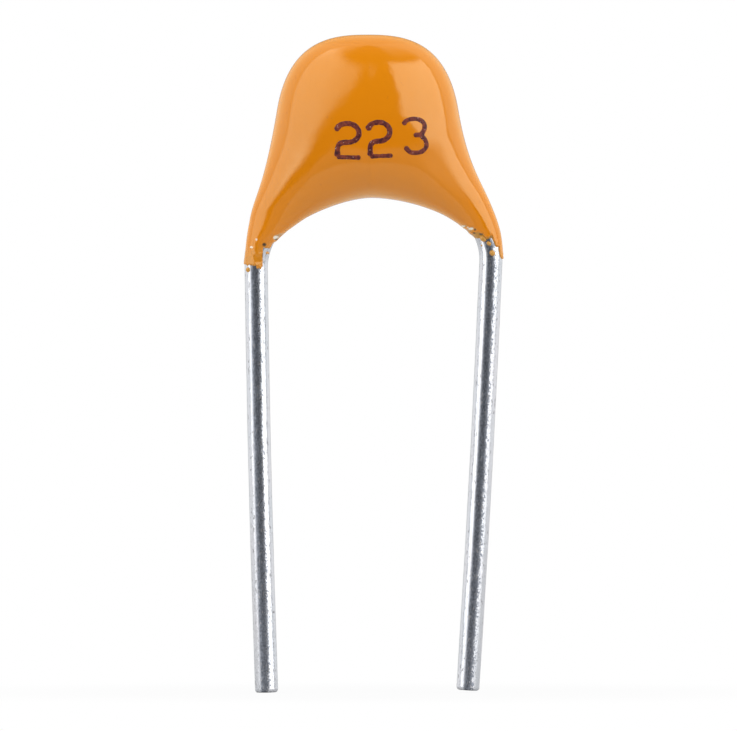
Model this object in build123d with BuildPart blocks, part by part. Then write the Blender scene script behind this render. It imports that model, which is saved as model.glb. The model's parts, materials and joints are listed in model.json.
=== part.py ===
"""Radial multilayer ceramic capacitor, dipped in epoxy, on two tinned wires.

Millimetres. The part stands on the tips of its wires as it would above a board: +Z runs from
the tips up to the crown of the coating, +X along the row of the two wires, and the printed
face looks along -Y. The origin lies between the wires, level with the longer wire's tip.
"""
import os
from math import cos, radians, sin, tan

from build123d import *

# Wires
lead_diameter = 0.5
lead_pitch = 5.08
pitch_height = 9.0
lean_left = 1.43
lean_right = 3.1
short_by_left = 0.0
short_by_right = 0.05
tip_rounding = 0.06
bend_rise_left = 0.80
bend_rise_right = 0.96
bend_angle = 45.0
lower_bend_radius = 1.45
upper_bend_radius = 1.2
wire_past_chip = 0.12

# Chip; it sits a little left of the middle, and its rise is from the height of the pitch
chip_length = 2.0
chip_height = 1.25
chip_thickness = 0.85
chip_x = -0.12
chip_rise = 3.5
chip_edge_radius = 0.05
cap_band = 0.4
cap_thickness = 0.04
plate_count = 12
plate_thickness = 0.012
plate_cover = 0.12
plate_side_margin = 0.16
plate_end_margin = 0.22

# Solder between each cap and its wire
solder_bond = 0.03
solder_skin = 0.04
solder_inset = 0.08

# Coating: how much of it covers what lies inside
coat_over_chip = 1.165
coat_under_chip = 1.125
coat_beside_wire = 0.40
coat_before_chip = 0.685
film = 0.035

# Coating: the outline from the front; handles are shares of the span that they bend
shoulder_rise = 0.18
shoulder_lean = 9.5
shoulder_handle = 0.99
crown_handle = 0.35
hip_handle_left = 0.75
hip_handle_right = 0.59
leg_handle = 0.49
arch_offset = -0.03
arch_handle_left = 0.40
arch_handle_right = 0.43
spring_handle_left = 0.42
spring_handle_right = 0.59
root_rise = 0.36
root_share = 0.8

# Coating: ribs that carry its skin, how they fan out, and where along each it is fullest
rib_count = 8
rib_fan = 0.6
fullest_share = 0.40

# Coating: its ragged ends, as points across and up from the bend of each wire, each a
# multiple of the coated wire's radius
left_end = [
    (-1.3, -1.54), (-0.42, -1.70), (0.04, -1.70), (0.35, -2.00),
    (0.54, -1.54), (0.54, -0.79), (0.88, -0.49), (1.6, -0.33),
]
right_end = [
    (-2.67, 0.95), (-2.18, 0.63), (-1.72, 0.25), (-1.09, -0.14), (-0.56, -0.28),
    (-0.26, -0.51), (-0.04, -1.05), (0.35, -1.65), (1.3, -2.10),
]
end_reach = 2.8

# Stray drops of coating: down the wire from its bend, degrees round the wire, and radius
left_drops = [(0.67, -43.0, 0.055)]
right_drops = [(0.13, -18.0, 0.06), (0.24, 2.0, 0.05), (0.40, 8.0, 0.055)]

# Printed value code; it starts to the left of the chip's middle and below it
digit_width = 0.45
digit_height = 0.73
digit_step = 0.72
digit_climb = 0.045
digit_turns = [-1.5, 2.0, 0.0]
code_left = 0.655
code_drop = 0.86
stroke_width = 0.10
ink_thickness = 0.02

lead_radius = lead_diameter / 2
film_radius = lead_radius + film
chip_z = pitch_height + chip_rise
cap_outer_length = chip_length + 2 * cap_thickness
wire_offset = cap_outer_length / 2 + solder_bond + lead_radius
crown_z = chip_z + chip_height / 2 + coat_over_chip
apex_z = chip_z - chip_height / 2 - coat_under_chip
shoulder_z = chip_z + shoulder_rise
shoulder_half_width = wire_offset + lead_radius + coat_beside_wire
full_half_depth = chip_thickness / 2 + cap_thickness + coat_before_chip
root_z = pitch_height + root_rise
root_half_width = lead_radius * root_share


class Side:
    """Places that belong to one wire; sign is -1 on the left and +1 on the right."""

    def __init__(self, sign, lean, bend_rise, short_by):
        self.sign = sign
        self.slope = sign * tan(radians(lean))
        bend_z = pitch_height + bend_rise
        chip_side_x = chip_x + sign * wire_offset
        run_in = abs(self.x_at(bend_z) - chip_side_x)
        self.tip = Vector(self.x_at(short_by), 0, short_by)
        self.bend = Vector(self.x_at(bend_z), 0, bend_z)
        self.upper = Vector(chip_side_x, 0, bend_z + run_in / tan(radians(bend_angle)))
        self.top = Vector(chip_side_x, 0, chip_z + chip_height / 2 + wire_past_chip)

    def x_at(self, z):
        """Return where the straight part of the wire's axis is at height z."""
        return self.sign * lead_pitch / 2 + self.slope * (z - pitch_height)


left = Side(-1, lean_left, bend_rise_left, short_by_left)
right = Side(1, lean_right, bend_rise_right, short_by_right)


def save(builder, label):
    """Label a finished sub-part and write it to its own STEP file."""
    builder.part.label = label
    export_step(builder.part, f"parts/{label}.step")


os.makedirs("parts", exist_ok=True)


# Wires


def wire_path(start, side, end):
    """Return a wire's axis: straight leg, sloping run inward, straight run up the cap."""
    with BuildLine() as path:
        FilletPolyline(
            start, side.bend, side.upper, end,
            radius=[lower_bend_radius, upper_bend_radius],
        )
    return path.wire()


def make_lead(side):
    """Sweep the round wire along its axis and round the rim of its cut tip."""
    path = wire_path(side.tip, side, side.top)
    with BuildPart() as lead:
        with BuildSketch(Plane(path @ 0, z_dir=path % 0)):
            Circle(lead_radius)
        sweep(path=path)
        fillet(lead.faces().sort_by(Axis.Z)[0].edges(), tip_rounding)
    return lead


lead_left = make_lead(left)
lead_right = make_lead(right)
save(lead_left, "lead_left")
save(lead_right, "lead_right")


# Chip: block, plates and end caps

plate_span = chip_thickness - 2 * plate_cover - plate_thickness
plate_step = plate_span / (plate_count - 1)


def make_plates(sign):
    """Every other plate, from the block's end on one side to short of the other end."""
    length = chip_length - plate_end_margin
    first = 0 if sign < 0 else 1
    with BuildPart() as plates:
        for index in range(first, plate_count, 2):
            y = -plate_span / 2 + index * plate_step
            x = chip_x + sign * plate_end_margin / 2
            with Locations((x, y, chip_z)):
                Box(length, plate_thickness, chip_height - 2 * plate_side_margin)
    return plates


electrodes_left = make_plates(-1)
electrodes_right = make_plates(1)
save(electrodes_left, "electrodes_left")
save(electrodes_right, "electrodes_right")

with BuildPart() as chip_body:
    with Locations((chip_x, 0, chip_z)):
        Box(chip_length, chip_thickness, chip_height)
    fillet(chip_body.edges(), chip_edge_radius)

with BuildPart() as dielectric:
    add(chip_body.part)
    add(electrodes_left.part, mode=Mode.SUBTRACT)
    add(electrodes_right.part, mode=Mode.SUBTRACT)
save(dielectric, "dielectric")


def make_cap(sign):
    """Metal cap that wraps one end of the block and a band of its four sides."""
    end_x = chip_x + sign * cap_outer_length / 2
    with BuildPart() as cap:
        with Locations((end_x - sign * (cap_band + cap_thickness) / 2, 0, chip_z)):
            Box(
                cap_band + cap_thickness,
                chip_thickness + 2 * cap_thickness,
                chip_height + 2 * cap_thickness,
            )
        end_face = cap.faces().sort_by(Axis.X)[0 if sign < 0 else -1]
        long_edges = cap.edges().filter_by(Axis.X)
        fillet(end_face.edges() + long_edges, chip_edge_radius + cap_thickness)
        add(chip_body.part, mode=Mode.SUBTRACT)
    return cap


termination_left = make_cap(-1)
termination_right = make_cap(1)
save(termination_left, "termination_left")
save(termination_right, "termination_right")


# Solder


def make_solder(side, lead, cap):
    """Solder that fills the corners between the flat cap and the round wire."""
    cap_x = chip_x + side.sign * cap_outer_length / 2
    wire_x = side.top.X
    foot = chip_thickness / 2 - solder_inset
    skin = lead_radius + solder_skin
    height = chip_height - 2 * solder_inset
    with BuildPart() as solder:
        with BuildSketch(Plane.XY.offset(chip_z - height / 2)):
            with BuildLine():
                Line((cap_x, foot), (cap_x, -foot))
                Bezier(
                    (cap_x, -foot), (cap_x + side.sign * lead_radius / 2, -skin), (wire_x, -skin)
                )
                ThreePointArc((wire_x, -skin), (wire_x + side.sign * skin, 0), (wire_x, skin))
                Bezier(
                    (wire_x, skin), (cap_x + side.sign * lead_radius / 2, skin), (cap_x, foot)
                )
            make_face()
        extrude(amount=height)
        add(lead.part, mode=Mode.SUBTRACT)
        add(cap.part, mode=Mode.SUBTRACT)
    return solder


solder_left = make_solder(left, lead_left, termination_left)
solder_right = make_solder(right, lead_right, termination_right)
save(solder_left, "solder_left")
save(solder_right, "solder_right")


# Coating


def outline(side, hip_handle, arch_handle, spring_handle):
    """Return the outer edge, leg to crown, and the arch, leg to apex, of one half."""
    root_x = side.x_at(root_z)
    out = Vector(side.sign, 0, 0)
    up = Vector(0, 0, 1)
    lean = radians(shoulder_lean)
    rising = Vector(-side.sign * sin(lean), 0, cos(lean))
    outer_root = Vector(root_x, 0, root_z) + out * root_half_width
    inner_root = Vector(root_x, 0, root_z) - out * root_half_width
    shoulder = Vector(chip_x, 0, shoulder_z) + out * shoulder_half_width
    crown = Vector(chip_x, 0, crown_z)
    apex = Vector(arch_offset, 0, apex_z)
    flank_height = shoulder_z - root_z
    crown_height = crown_z - shoulder_z
    arch_height = apex_z - root_z
    arch_width = abs(inner_root.X - apex.X)
    with BuildLine() as outer:
        Bezier(
            outer_root,
            outer_root + up * leg_handle * flank_height,
            shoulder - rising * hip_handle * flank_height,
            shoulder,
        )
        Bezier(
            shoulder,
            shoulder + rising * shoulder_handle * crown_height,
            crown + out * crown_handle * shoulder_half_width,
            crown,
        )
    with BuildLine() as arch:
        Bezier(
            inner_root,
            inner_root + up * spring_handle * arch_height,
            apex + out * arch_handle * arch_width,
            apex,
        )
    return outer.wire(), arch.wire()


def make_ribs(side, hip_handle, arch_handle, spring_handle):
    """Pair points of the arch and the outer edge, from the wire up to the middle."""
    outer, arch = outline(side, hip_handle, arch_handle, spring_handle)
    shares = [index / rib_count for index in range(rib_count + 1)]
    return [(share, arch @ share ** rib_fan, outer @ share) for share in shares]


def half_depth(share):
    """Half the coating's depth at a rib, easing from inside the wire to its full depth."""
    eased = share * share * (3 - 2 * share)
    return root_half_width + (full_half_depth - root_half_width) * eased


ribs = make_ribs(left, hip_handle_left, arch_handle_left, spring_handle_left)
right_ribs = make_ribs(right, hip_handle_right, arch_handle_right, spring_handle_right)
ribs += reversed(right_ribs[:-1])


def make_body(proud=0.0):
    """Loft the saddle and dome through its ribs, each two half ellipses that meet where
    the coating is fullest; proud is added to the depth at front and back."""
    with BuildPart() as body:
        for share, inner_point, outer_point in ribs:
            rib = outer_point - inner_point
            across = rib.normalized()
            fullest = rib.length * (0.5 + (fullest_share - 0.5) * share)
            depth = half_depth(share) + proud
            plane = Plane(inner_point, x_dir=across, z_dir=across.cross(Vector(0, 1, 0)))
            with BuildSketch(plane):
                with BuildLine():
                    EllipticalCenterArc(
                        (fullest, 0), rib.length - fullest, depth,
                        start_angle=-90, arc_size=180,
                    )
                    EllipticalCenterArc(
                        (fullest, 0), fullest, depth, start_angle=90, arc_size=180
                    )
                make_face()
        loft()
    return body


def make_film(side):
    """Thin skin of coating round the wire, from below the ragged end past the wire's top."""
    start_z = side.bend.Z - end_reach * film_radius
    start = Vector(side.x_at(start_z), 0, start_z)
    path = wire_path(start, side, side.top + Vector(0, 0, film))
    with BuildPart() as skin:
        with BuildSketch(Plane(path @ 0, z_dir=path % 0)):
            Circle(film_radius)
        sweep(path=path)
    return skin


def make_end_cutter(side, end_points):
    """Prism over the wire whose upper side is the ragged line where the coating stops."""
    ragged = [
        (side.bend.X + across * film_radius, side.bend.Z + up * film_radius)
        for across, up in end_points
    ]
    floor = side.bend.Z - (end_reach + 1) * film_radius
    with BuildPart() as cutter:
        with BuildSketch(Plane.XZ):
            with BuildLine():
                Polyline(*ragged, (ragged[-1][0], floor), (ragged[0][0], floor), close=True)
            make_face()
        extrude(amount=full_half_depth, both=True)
    return cutter


body = make_body()

with BuildPart() as coating:
    add(body.part)
    for side in (left, right):
        add(make_film(side).part)
    add(make_end_cutter(left, left_end).part, mode=Mode.SUBTRACT)
    add(make_end_cutter(right, right_end).part, mode=Mode.SUBTRACT)
    for inside in (
        chip_body, termination_left, termination_right,
        solder_left, solder_right, lead_left, lead_right,
    ):
        add(inside.part, mode=Mode.SUBTRACT)
save(coating, "coating")

with BuildPart() as coating_drops:
    front = Vector(0, -1, 0)
    for side, drops in ((left, left_drops), (right, right_drops)):
        path = wire_path(side.tip, side, side.top)
        to_bend = (side.bend - side.tip).length
        for below, turn, radius in drops:
            centre = path.position_at(to_bend - below, PositionMode.LENGTH)
            along = path.tangent_at(to_bend - below, PositionMode.LENGTH)
            out = front.rotate(Axis((0, 0, 0), along), turn)
            with Locations(Plane(centre + out * lead_radius, z_dir=out)):
                Sphere(radius)
    for carrier in (lead_left, lead_right, coating):
        add(carrier.part, mode=Mode.SUBTRACT)
save(coating_drops, "coating_drops")


# Value code


def place(across, up):
    """A point of a digit, given as shares of its width and height."""
    return (across * digit_width, up * digit_height)


def draw_two():
    """A 2 in one stroke: hook, round bowl, sweep down to the corner, flat foot."""
    with BuildSketch(mode=Mode.PRIVATE) as digit:
        with BuildLine():
            Spline(
                place(-0.08, 0.83), place(0.43, 1), place(1, 0.715), place(0.5, 0.455),
                tangents=[(0.6, 0.8), (-1, 0)],
            )
            Bezier(place(0.5, 0.455), place(0.15, 0.455), place(0, 0.4), place(0, 0.22))
            Line(place(0, 0.22), place(0, 0))
            Line(place(0, 0), place(0.97, 0))
        trace(line_width=stroke_width)
        with Locations(place(-0.08, 0.83), place(0, 0), place(0.97, 0)):
            Circle(stroke_width / 2)
    return digit.sketch


def draw_three():
    """A 3 in two bowls that meet at a short bar."""
    waist = place(0.76, 0.545)
    with BuildSketch(mode=Mode.PRIVATE) as digit:
        with BuildLine():
            Spline(place(0, 0.83), place(0.45, 1), place(0.89, 0.77), waist)
        trace(line_width=stroke_width)
        with BuildLine():
            Spline(waist, place(1, 0.265), place(0.57, 0), place(0.075, 0.16))
        trace(line_width=stroke_width)
        with BuildLine():
            Line(waist, place(0.45, 0.51))
        trace(line_width=stroke_width)
        with Locations(place(0, 0.83), waist, place(0.075, 0.16), place(0.45, 0.51)):
            Circle(stroke_width / 2)
    return digit.sketch


with BuildSketch(Plane.XZ) as code_face:
    for index, digit in enumerate((draw_two(), draw_two(), draw_three())):
        across = chip_x - code_left + index * digit_step
        up = chip_z - code_drop + index * digit_climb
        with Locations((across, up)):
            add(digit, rotation=digit_turns[index])

with BuildPart() as value_code:
    extrude(code_face.sketch, amount=2 * full_half_depth)
    add(make_body(ink_thickness).part, mode=Mode.INTERSECT)
    add(body.part, mode=Mode.SUBTRACT)
save(value_code, "value_code")
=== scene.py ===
# %% [markdown]
# # A dipped ceramic capacitor on two tinned wires
# The part is 14 mm tall, so everything here is small: the coating on the wires is thinner than
# a sheet of paper. The solids of the part are already made. This lesson loads them, dresses
# them with finer surfaces and finishes, and sets up the light and the camera.

# %% Load the solids
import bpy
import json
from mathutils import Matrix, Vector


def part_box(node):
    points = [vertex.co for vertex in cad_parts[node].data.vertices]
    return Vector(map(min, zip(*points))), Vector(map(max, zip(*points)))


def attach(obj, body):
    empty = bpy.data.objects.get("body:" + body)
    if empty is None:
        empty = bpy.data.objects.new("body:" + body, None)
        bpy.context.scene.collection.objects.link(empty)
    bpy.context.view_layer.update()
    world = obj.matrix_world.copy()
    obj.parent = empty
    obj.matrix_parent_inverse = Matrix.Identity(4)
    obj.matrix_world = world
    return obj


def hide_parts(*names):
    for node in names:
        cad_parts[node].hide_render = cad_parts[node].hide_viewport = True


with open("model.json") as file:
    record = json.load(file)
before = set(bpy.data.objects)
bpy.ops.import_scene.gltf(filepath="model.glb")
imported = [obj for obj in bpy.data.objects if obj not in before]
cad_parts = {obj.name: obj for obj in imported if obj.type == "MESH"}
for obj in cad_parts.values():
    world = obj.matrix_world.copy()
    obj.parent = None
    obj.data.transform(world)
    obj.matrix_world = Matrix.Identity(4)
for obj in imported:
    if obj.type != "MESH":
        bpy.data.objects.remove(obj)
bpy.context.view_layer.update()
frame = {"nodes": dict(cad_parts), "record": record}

print("solids:", ", ".join(sorted(frame["nodes"])))

# %% [markdown]
# ## Units and the values that come from the solids
# Blender works in metres. A part this small is easier to think about in millimetres, so all
# the arrays below hold millimetres, and the mesh helper scales them once at the end. The
# wires' thickness, place and lean are read from the record, so they cannot drift from it.

# %% Sizes of the part
import json

import bpy
import numpy as np
from mathutils import Vector

MM = 0.001


def in_mm(corner):
    """A corner of a solid's box, in millimetres."""
    return np.array(corner) / MM


coating_low, coating_high = map(in_mm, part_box("coating"))
chip_low, chip_high = map(in_mm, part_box("dielectric"))
pins = {pin["name"]: pin for pin in frame["record"]["mounts"]}
wire_radius = pins["left_wire"]["dims"]["r_mm"]
chip_x = (chip_low[0] + chip_high[0]) / 2
chip_z = (chip_low[2] + chip_high[2]) / 2
half_depth = (coating_high[1] - coating_low[1]) / 2
crown_z = coating_high[2]
print(f"wire radius {wire_radius} mm, crown at {crown_z:.2f} mm, half depth {half_depth:.3f} mm")

# %% [markdown]
# ## From a grid of points to a mesh
# Every new piece is a tube of some kind: rings of points, one ring after the other. One helper
# turns such a grid into a closed mesh. It joins neighbouring points into quads, closes each
# end with a fan of triangles round one middle point, and checks the sign of the enclosed
# volume so that the faces point outwards. The UV map runs round the tube one way and along it
# the other way, on the wires in millimetres, so that a pattern can follow the wire.

# %% Mesh helper
ring_step = 0.1


def ring_faces(rings, around):
    """Quads between neighbouring rings, then fans that close the first and the last ring."""
    i, j = np.meshgrid(np.arange(rings - 1), np.arange(around), indexing="ij")
    k = (j + 1) % around
    quads = np.stack([i * around + j, i * around + k, (i + 1) * around + k, (i + 1) * around + j], -1)
    j = np.arange(around)
    k = (j + 1) % around
    first, last = rings * around, rings * around + 1
    start = np.stack([k, j, np.full(around, first)], -1)
    end = np.stack([(rings - 1) * around + j, (rings - 1) * around + k, np.full(around, last)], -1)
    return quads.reshape(-1, 4), np.concatenate([start, end])


def enclosed_volume(points, quads, fans):
    """Sum of the signed tetrahedra between the origin and each triangle."""
    triangles = np.concatenate([quads[:, [0, 1, 2]], quads[:, [0, 2, 3]], fans])
    a, b, c = (points[triangles[:, n]] for n in range(3))
    return np.einsum("ij,ij->i", a, np.cross(b, c)).sum() / 6


def wrap_map(rings, around, along, girth):
    """UV corners in millimetres: round the tube one way, along it the other way."""
    i, j = np.meshgrid(np.arange(rings - 1), np.arange(around), indexing="ij")
    step = girth / around
    corners_u = np.stack([j, j + 1, j + 1, j], -1) * step
    corners_v = along[np.stack([i, i, i + 1, i + 1], -1)]
    quads = np.stack([corners_u, corners_v], -1).reshape(-1, 4, 2)
    j = np.arange(around)
    start = np.stack([np.stack([j + 1, j, j], -1) * step, np.full((around, 3), along[0])], -1)
    end = np.stack([np.stack([j, j + 1, j], -1) * step, np.full((around, 3), along[-1])], -1)
    return quads, np.concatenate([start, end])


def tube_mesh(name, grid, along=None, girth=1.0):
    """Mesh of a closed tube from an array of rings x points x 3, in millimetres.

    Where no lengths along the tube are given, its UV map has the rings one step apart.
    """
    rings, around = grid.shape[:2]
    if along is None:
        along = np.arange(rings) * ring_step
    quads_uv, fans_uv = wrap_map(rings, around, along, girth)
    ends = np.stack([grid[0].mean(0), grid[-1].mean(0)])
    points = np.concatenate([grid.reshape(-1, 3), ends])
    quads, fans = ring_faces(rings, around)
    if enclosed_volume(points, quads, fans) < 0:
        quads, fans = quads[:, ::-1], fans[:, ::-1]
        quads_uv, fans_uv = quads_uv[:, ::-1], fans_uv[:, ::-1]
    mesh = bpy.data.meshes.new(name)
    mesh.from_pydata((points * MM).tolist(), [], quads.tolist() + fans.tolist())
    mesh.polygons.foreach_set("use_smooth", np.ones(len(mesh.polygons), bool))
    uv = mesh.uv_layers.new(name="wrap")
    uv.data.foreach_set("uv", np.concatenate([quads_uv.ravel(), fans_uv.ravel()]).astype(np.float32))
    mesh.update()
    return mesh


def in_scene(name, data):
    """A new object in the scene that holds a mesh or a camera."""
    thing = bpy.data.objects.new(name, data)
    bpy.context.scene.collection.objects.link(thing)
    return thing


def add_piece(name, mesh, solid):
    """Put a mesh in the scene as a piece that rides with the part and stands for a solid."""
    piece = in_scene(name, mesh)
    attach(piece, "root")
    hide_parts(solid)
    triangles = sum(len(face.vertices) - 2 for face in mesh.polygons)
    print(f"{name}: {triangles} triangles")
    return piece


# %% [markdown]
# ## The route of each wire
# Each wire stands almost straight, bends inward where the coating starts, slopes up to the
# chip and stands straight again beside it. The straight leg is known from the record. The
# bends are arcs between straight runs, so one dense list of points along the axis is enough
# for everything that hugs the wire. A wire that came off a reel is never quite straight, so
# the leg bows outward by a hair.

# %% Wire axes
bend_slope = np.radians(45)
lower_bend_radius = 1.45
upper_bend_radius = 1.2
wire_beside_chip = {"left_wire": -1.44, "right_wire": 1.20}
top_above_chip = 0.12
tip_below_mount = 0.06
bow = 0.026


def unit(vectors):
    """Vectors, one or a list of them, brought to length 1."""
    return vectors / np.linalg.norm(vectors, axis=-1, keepdims=True)


def run_along(points):
    """Length run from the first point of a line to each of its points."""
    steps = np.linalg.norm(np.diff(points, axis=0), axis=1)
    return np.concatenate([[0], np.cumsum(steps)])


def read_at(lengths, run, values):
    """Values given at the lengths of a run, read at other lengths, column by column."""
    return np.stack([np.interp(lengths, run, column) for column in values.T], -1)


def spread(points, count):
    """The same line with evenly spaced points, and the length run at each of them."""
    run = run_along(points)
    even = np.linspace(0, run[-1], count)
    return read_at(even, run, points), even


def arc_between(corner, before, after, radius, count=60):
    """Points of the arc that rounds a corner between two unit directions, in the XZ plane.

    The arc starts radius times the tangent of half the turn before the corner. Its points
    turn evenly about a centre that lies a radius to the inner side.
    """
    turn = np.arccos(np.clip(before @ after, -1, 1))
    start = corner - before * radius * np.tan(turn / 2)
    inner = unit(after - before * (before @ after))
    angle = np.linspace(0, turn, count)[:, None]
    return start + radius * (np.sin(angle) * before + (1 - np.cos(angle)) * inner)


def wire_route(pin_name):
    """Dense points of a wire's axis from its cut tip to its top, as (x, z) pairs."""
    pin = pins[pin_name]
    middle = np.array([pin["pos_m"][0], pin["pos_m"][2]]) / MM
    up = -unit(np.array([pin["axis"][0], pin["axis"][2]]))
    sign = np.sign(middle[0])
    lean = np.arccos(up[1])
    half_turn = (bend_slope + lean) / 2
    half_length = pin["dims"]["length_mm"] / 2
    tip = middle - up * (half_length + tip_below_mount)
    bend = middle + up * (half_length + lower_bend_radius * np.tan(half_turn))
    slope = np.array([-sign * np.sin(bend_slope), np.cos(bend_slope)])
    beside = wire_beside_chip[pin_name]
    upper = bend + slope * abs(bend[0] - beside) / np.sin(bend_slope)
    top = np.array([beside, chip_high[2] + top_above_chip])
    lower_arc = arc_between(bend, up, slope, lower_bend_radius)
    upper_arc = arc_between(upper, slope, np.array([0.0, 1.0]), upper_bend_radius)
    share = np.linspace(0, 1, 80)[:-1, None]
    leg = tip + (lower_arc[0] - tip) * share + [sign * bow, 0] * np.sin(np.pi * share)
    return np.concatenate([leg, lower_arc, upper_arc, top[None]]), bend, sign


for name in pins:
    route, bend, _ = wire_route(name)
    print(name, "tip", route[0].round(3), "bend", bend.round(3), "top", route[-1].round(3))

# %% [markdown]
# ## The outline of the coating
# Seen from the front, the dipped coating is a dome on two legs with an arch between them. Four
# Bezier curves give its outer edge and two give the arch. Their handles are shares of the span
# that they bend, so the shape keeps its character if a size changes. The crown stands a hair
# above the solid's.

# %% Outline curves
shoulder_z = chip_z + 0.18
shoulder_half_width = 1.97
shoulder_lean = np.radians(9.5)
apex = np.array([-0.03, chip_low[2] - 1.125])
root_z = 9.36
root_half_width = 0.2
handles = {
    "left_wire": {"hip": 0.75, "arch": 0.33, "spring": 0.49},
    "right_wire": {"hip": 0.59, "arch": 0.32, "spring": 0.69},
}
leg_handle = 0.49
shoulder_handle = 0.99
crown_handle = 0.355
crown_rise = 0.012


def bezier(start, handle_a, handle_b, end, count=300):
    """Cubic Bezier curve: the four points weighted by the Bernstein polynomials."""
    t = np.linspace(0, 1, count)[:, None]
    s = 1 - t
    return s**3 * start + 3 * s * s * t * handle_a + 3 * s * t * t * handle_b + t**3 * end


def at_share(curve, shares):
    """Points at given shares of a curve's length."""
    run = run_along(curve)
    return read_at(shares * run[-1], run, curve)


def outline(pin_name, root, sign):
    """Outer edge from the leg's root to the crown, and arch from the root to its apex."""
    shape = handles[pin_name]
    out, up = np.array([sign, 0.0]), np.array([0.0, 1.0])
    rising = np.array([-sign * np.sin(shoulder_lean), np.cos(shoulder_lean)])
    shoulder = np.array([chip_x + sign * shoulder_half_width, shoulder_z])
    crown = np.array([chip_x, crown_z + crown_rise])
    flank, cap, gap = shoulder_z - root_z, crown_z - shoulder_z, apex[1] - root_z
    foot = root + out * root_half_width
    spring = root - out * root_half_width
    leg = bezier(foot, foot + up * leg_handle * flank, shoulder - rising * shape["hip"] * flank, shoulder)
    dome = bezier(
        shoulder, shoulder + rising * shoulder_handle * cap,
        crown + out * crown_handle * shoulder_half_width, crown,
    )
    arch_width = abs(spring[0] - apex[0])
    arch_handle = apex + out * shape["arch"] * arch_width
    arch = bezier(spring, spring + up * shape["spring"] * gap, arch_handle, apex)
    return np.concatenate([leg, dome[1:]]), arch


# %% [markdown]
# ## The skin of the coating
# Ribs run from the arch to the outer edge, and each rib carries an oval cross-section. Near the
# wires the section must also hug the round wire, as the liquid epoxy did. So each point of the
# skin is found by looking out from a spine, which follows the wire there. The distance to the
# oval and the distance to a film round the wire are both known, and the skin lies at the
# smooth larger of the two. Where the coating runs out, the film gets thinner than nothing and
# dives under the surface of the wire.

# %% Ribs and their ovals
rib_fan = 0.6
fullest_share = 0.30
depth_rise = 0.8
film = 0.014
film_run = 0.55
close_share = 0.28
around = 208


def ease(x):
    """Smooth step from 0 to 1."""
    x = np.clip(x, 0, 1)
    return x * x * (3 - 2 * x)


def oval_reach(offset, inner, outer, depth, angle):
    """Distance from a point on a rib to an oval made of two half ellipses.

    The oval is centred where the rib is fullest. The point lies offset from there. The ray
    leaves at an angle from the rib, and its distance solves a quadratic for each half.
    """
    cos, sin = np.cos(angle), np.sin(angle)

    def half(radius):
        a = (cos / radius) ** 2 + (sin / depth) ** 2
        b = offset * cos / radius**2
        c = (offset / radius) ** 2 - 1
        return (-b + np.sqrt(np.maximum(b * b - a * c, 0))) / a

    far = half(outer)
    return np.where(offset + far * cos > 0, far, half(inner))


def smooth_larger(a, b, reach):
    """The larger of two values, with a rounded change-over where they are within reach."""
    close = np.maximum(reach - np.abs(a - b), 0)
    return np.maximum(a, b) + close**2 / (4 * reach)


def crossing(route, inner, outer):
    """Share of each rib, from its inner end, at which the wire's axis crosses it."""
    rib = outer - inner
    away = route[None] - inner[:, None]
    side = rib[:, None, 0] * away[..., 1] - rib[:, None, 1] * away[..., 0]
    flips = (side[:, 1:] * side[:, :-1]) <= 0
    first = flips.argmax(1)
    rows = np.arange(len(inner))
    before, after = side[rows, first], side[rows, first + 1]
    mix = (before / (before - after))[:, None]
    point = route[first] * (1 - mix) + route[first + 1] * mix
    return ((point - inner) * rib).sum(1) / (rib**2).sum(1)


def half_skin(pin_name):
    """Stations from below the root of one leg up to the middle of the part.

    They lie closer together low on the leg, up to the close share. Each has an inner and an
    outer end and the share of its rib at which the wire crosses it.
    """
    route, _, sign = wire_route(pin_name)
    route, _ = spread(route, 4000)
    root = np.array([np.interp(root_z, route[:, 1], route[:, 0]), root_z])
    outer_edge, arch = outline(pin_name, root, sign)
    below = np.linspace(film_run, 0, 60)[:-1]
    share = np.concatenate([np.linspace(0, close_share, 90)[:-1], np.linspace(close_share, 1, 84)])
    axis = np.array([np.interp(root_z - below, route[:, 1], route[:, 0]), root_z - below]).T
    out = np.array([sign * root_half_width, 0])
    inner = np.concatenate([axis - out, at_share(arch, share**rib_fan)])
    outer = np.concatenate([axis + out, at_share(outer_edge, share)])
    share = np.concatenate([np.zeros(len(below)), share])
    return share, inner, outer, crossing(route, inner, outer)


share, inner, outer, on_wire = half_skin("left_wire")
print("stations on one side:", len(share), "wire crosses at", on_wire[[0, 69, 120]].round(2))
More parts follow.
